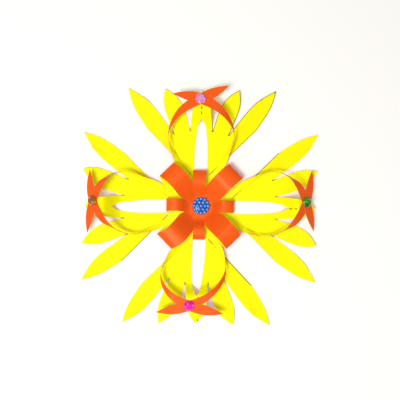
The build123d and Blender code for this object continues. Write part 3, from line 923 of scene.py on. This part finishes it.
def gem_mesh(diameter, height, seed):
    """Faceted flat-backed stone about its own axis: table, mains, stars and girdle, as a convex shell."""
    r = diameter / 2
    points = []
    for k in range(16):
        a = math.pi * k / 8
        points.extend((out * r * math.cos(a), out * r * math.sin(a), up * height) for out, up in GEM_GIRDLE)
    for k in range(8):
        for a, (out, up) in ((math.pi * (k + 0.5) / 4, GEM_SHOULDER), (math.pi * k / 4, GEM_TABLE)):
            points.append((out * r * math.cos(a), out * r * math.sin(a), up * height))
    shell = bmesh.new()
    for p in points:
        shell.verts.new(p)
    bmesh.ops.convex_hull(shell, input=shell.verts)
    bmesh.ops.dissolve_limit(shell, angle_limit=math.radians(1.0), verts=shell.verts, edges=shell.edges)
    bmesh.ops.recalc_face_normals(shell, faces=shell.faces)
    # Painted reflections: each facet is coloured lighter or darker at random, the table at a middle level and
    # the back facets darker, standing in for the light inside the stone
    rng = np.random.default_rng(seed)
    painted_light = shell.faces.layers.float.new("painted_light")
    for face in shell.faces:
        middle = face.calc_center_median()
        face[painted_light] = 0.5 + 0.5 * rng.uniform(-1, 1)
        if face.normal.z > 0.99:
            face[painted_light] = TABLE_PAINTED_LIGHT
        if middle.z < 0.25 * height:
            face[painted_light] = BACK_PAINTED_LIGHT
    mesh = bpy.data.meshes.new("gem")
    shell.to_mesh(mesh)
    shell.free()
    return mesh


class FLOWER_OT_gems(bpy.types.Operator):
    """Build the four faceted gems on the ribbon crossings"""
    bl_idname = "flower.gems"
    bl_label = "Gems"

    def execute(self, context):
        sizes = context.scene.flower_gems
        # Darkest painted reflection in each stone's facets
        deep = {"pink": "#A45C9C", "green": "#0E3400", "magenta": "#C00086", "amber": "#4E2600"}
        for index, (name, colour) in enumerate(GEM_COLOURS.items()):
            material = acrylic_material(
                f"faceted_{colour}_acrylic", getattr(sizes, colour), deep[colour], "painted_light", coat=0.15)
            out, left, height, tilt = CROSSINGS[name]
            t = math.radians(tilt)
            normal = Vector((math.sin(t), 0, math.cos(t)))
            seat = Vector((out, left, height)) + normal * (2 * LAYER + CARD / 2)
            turn = Matrix.Rotation(math.radians(BEARINGS[name]), 4, "Z")
            tilted = Matrix.Rotation(t, 4, "Y")
            place = turn @ Matrix.Translation(seat * MM) @ tilted @ Matrix.Rotation(0.3 + index, 4, "Z")
            mesh = gem_mesh(sizes.diameter, sizes.height, GEM_SEED + index)
            mesh.transform(place)
            mesh.materials.append(material)
            piece = bpy.data.objects.new(f"faceted_gem_{colour}", mesh)
            context.scene.collection.objects.link(piece)
            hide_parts(f"gem_{colour}")
            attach(piece, "root")
        return {"FINISHED"}


# Soft lamps: place and width in metres, then energy in watts
LAMPS = {"key": ((-0.42, -0.34, 1.3), 0.6, 14.4), "fill": ((0.35, 0.3, 1.5), 1.0, 2.0)}
WORLD_LEVEL, FLOOR_GLOW, CAMERA_AT = 0.33, 0.1, (0.1, 6.3)


class FLOWER_OT_stage(bpy.types.Operator):
    """Lay the pale floor, the soft lamps and the camera above the flower"""
    bl_idname = "flower.stage"
    bl_label = "Stage"

    def execute(self, context):
        stage = context.scene.flower_stage
        floor_mesh = bpy.data.meshes.new("floor")
        reach = 3.0
        corners = [(-reach, -reach, 0), (reach, -reach, 0), (reach, reach, 0), (-reach, reach, 0)]
        floor_mesh.from_pydata(corners, [], [(0, 1, 2, 3)])
        floor = bpy.data.objects.new("floor", floor_mesh)
        context.scene.collection.objects.link(floor)
        material, tree, shader = new_material("matt_white_floor")
        shader.inputs["Base Color"].default_value = linear("#F8F5F0")
        shader.inputs["Roughness"].default_value = 0.9
        shader.inputs["Specular IOR Level"].default_value = 0.1
        rays = add_node(tree, "ShaderNodeLightPath")
        seen = rays.outputs["Is Camera Ray"]
        for kind in ("Is Glossy Ray", "Is Transmission Ray"):
            seen = maths(tree, "MAXIMUM", seen, rays.outputs[kind])
        shader.inputs["Emission Color"].default_value = linear("#FFFFFF")
        # A faint glow, only where the floor is seen, keeps it white and leaves the flower's shadow on it
        tree.links.new(maths(tree, "MULTIPLY", seen, FLOOR_GLOW), shader.inputs["Emission Strength"])
        floor_mesh.materials.append(material)
        floor.location.z = -0.0004

        world = bpy.data.worlds.new("soft_studio")
        context.scene.world = world
        world.use_nodes = True
        world.node_tree.nodes["Background"].inputs[0].default_value = linear("#FFFFFF")
        world.node_tree.nodes["Background"].inputs[1].default_value = WORLD_LEVEL

        for label, (place, width, energy) in LAMPS.items():
            lamp = bpy.data.lights.new(label, "AREA")
            lamp.shape = "DISK"
            lamp.size = width
            lamp.energy = energy
            holder = bpy.data.objects.new(label, lamp)
            holder.location = place
            holder.rotation_euler = (-Vector(place)).to_track_quat("-Z", "Y").to_euler()
            context.scene.collection.objects.link(holder)

        camera = bpy.data.cameras.new("camera")
        camera.sensor_width = 36.0
        camera.lens = 18.0 / (stage.frame_width / 2 / stage.distance)
        camera.clip_end = 20.0
        holder = bpy.data.objects.new("camera", camera)
        holder.location = (CAMERA_AT[0] * MM, CAMERA_AT[1] * MM, stage.distance)
        holder.rotation_euler = (0.0, 0.0, stage.roll)
        context.scene.collection.objects.link(holder)
        context.scene.camera = holder
        context.scene.view_settings.view_transform = "Standard"
        return {"FINISHED"}


class FLOWER_PT_panel(bpy.types.Panel):
    """Sizes, colours and build buttons of the flower"""
    bl_idname = "FLOWER_PT_panel"
    bl_label = "Layered Paper Flower"
    bl_space_type = "VIEW_3D"
    bl_region_type = "UI"
    bl_category = "Paper Flower"

    def draw(self, context):
        for group, operator in (("flower_paper", "flower.paper"), ("flower_button", "flower.button"),
                                ("flower_gems", "flower.gems"), ("flower_stage", "flower.stage")):
            box = self.layout.box()
            sizes = getattr(context.scene, group)
            for key in sizes.__annotations__:
                box.prop(sizes, key)
            box.operator(operator)


CLASSES = (FlowerPaper, FlowerButton, FlowerGems, FlowerStage, FLOWER_OT_paper, FLOWER_OT_button,
           FLOWER_OT_gems, FLOWER_OT_stage, FLOWER_PT_panel)
GROUPS = {"flower_paper": FlowerPaper, "flower_button": FlowerButton, "flower_gems": FlowerGems,
          "flower_stage": FlowerStage}


def register():
    for item in CLASSES:
        bpy.utils.register_class(item)
    for label, group in GROUPS.items():
        setattr(bpy.types.Scene, label, bpy.props.PointerProperty(type=group))


def unregister():
    for label in GROUPS:
        delattr(bpy.types.Scene, label)
    for item in reversed(CLASSES):
        bpy.utils.unregister_class(item)


def main():
    register()
    bpy.ops.flower.paper()
    bpy.ops.flower.button()
    bpy.ops.flower.gems()
    bpy.ops.flower.stage()


if __name__ == "__main__":
    main()
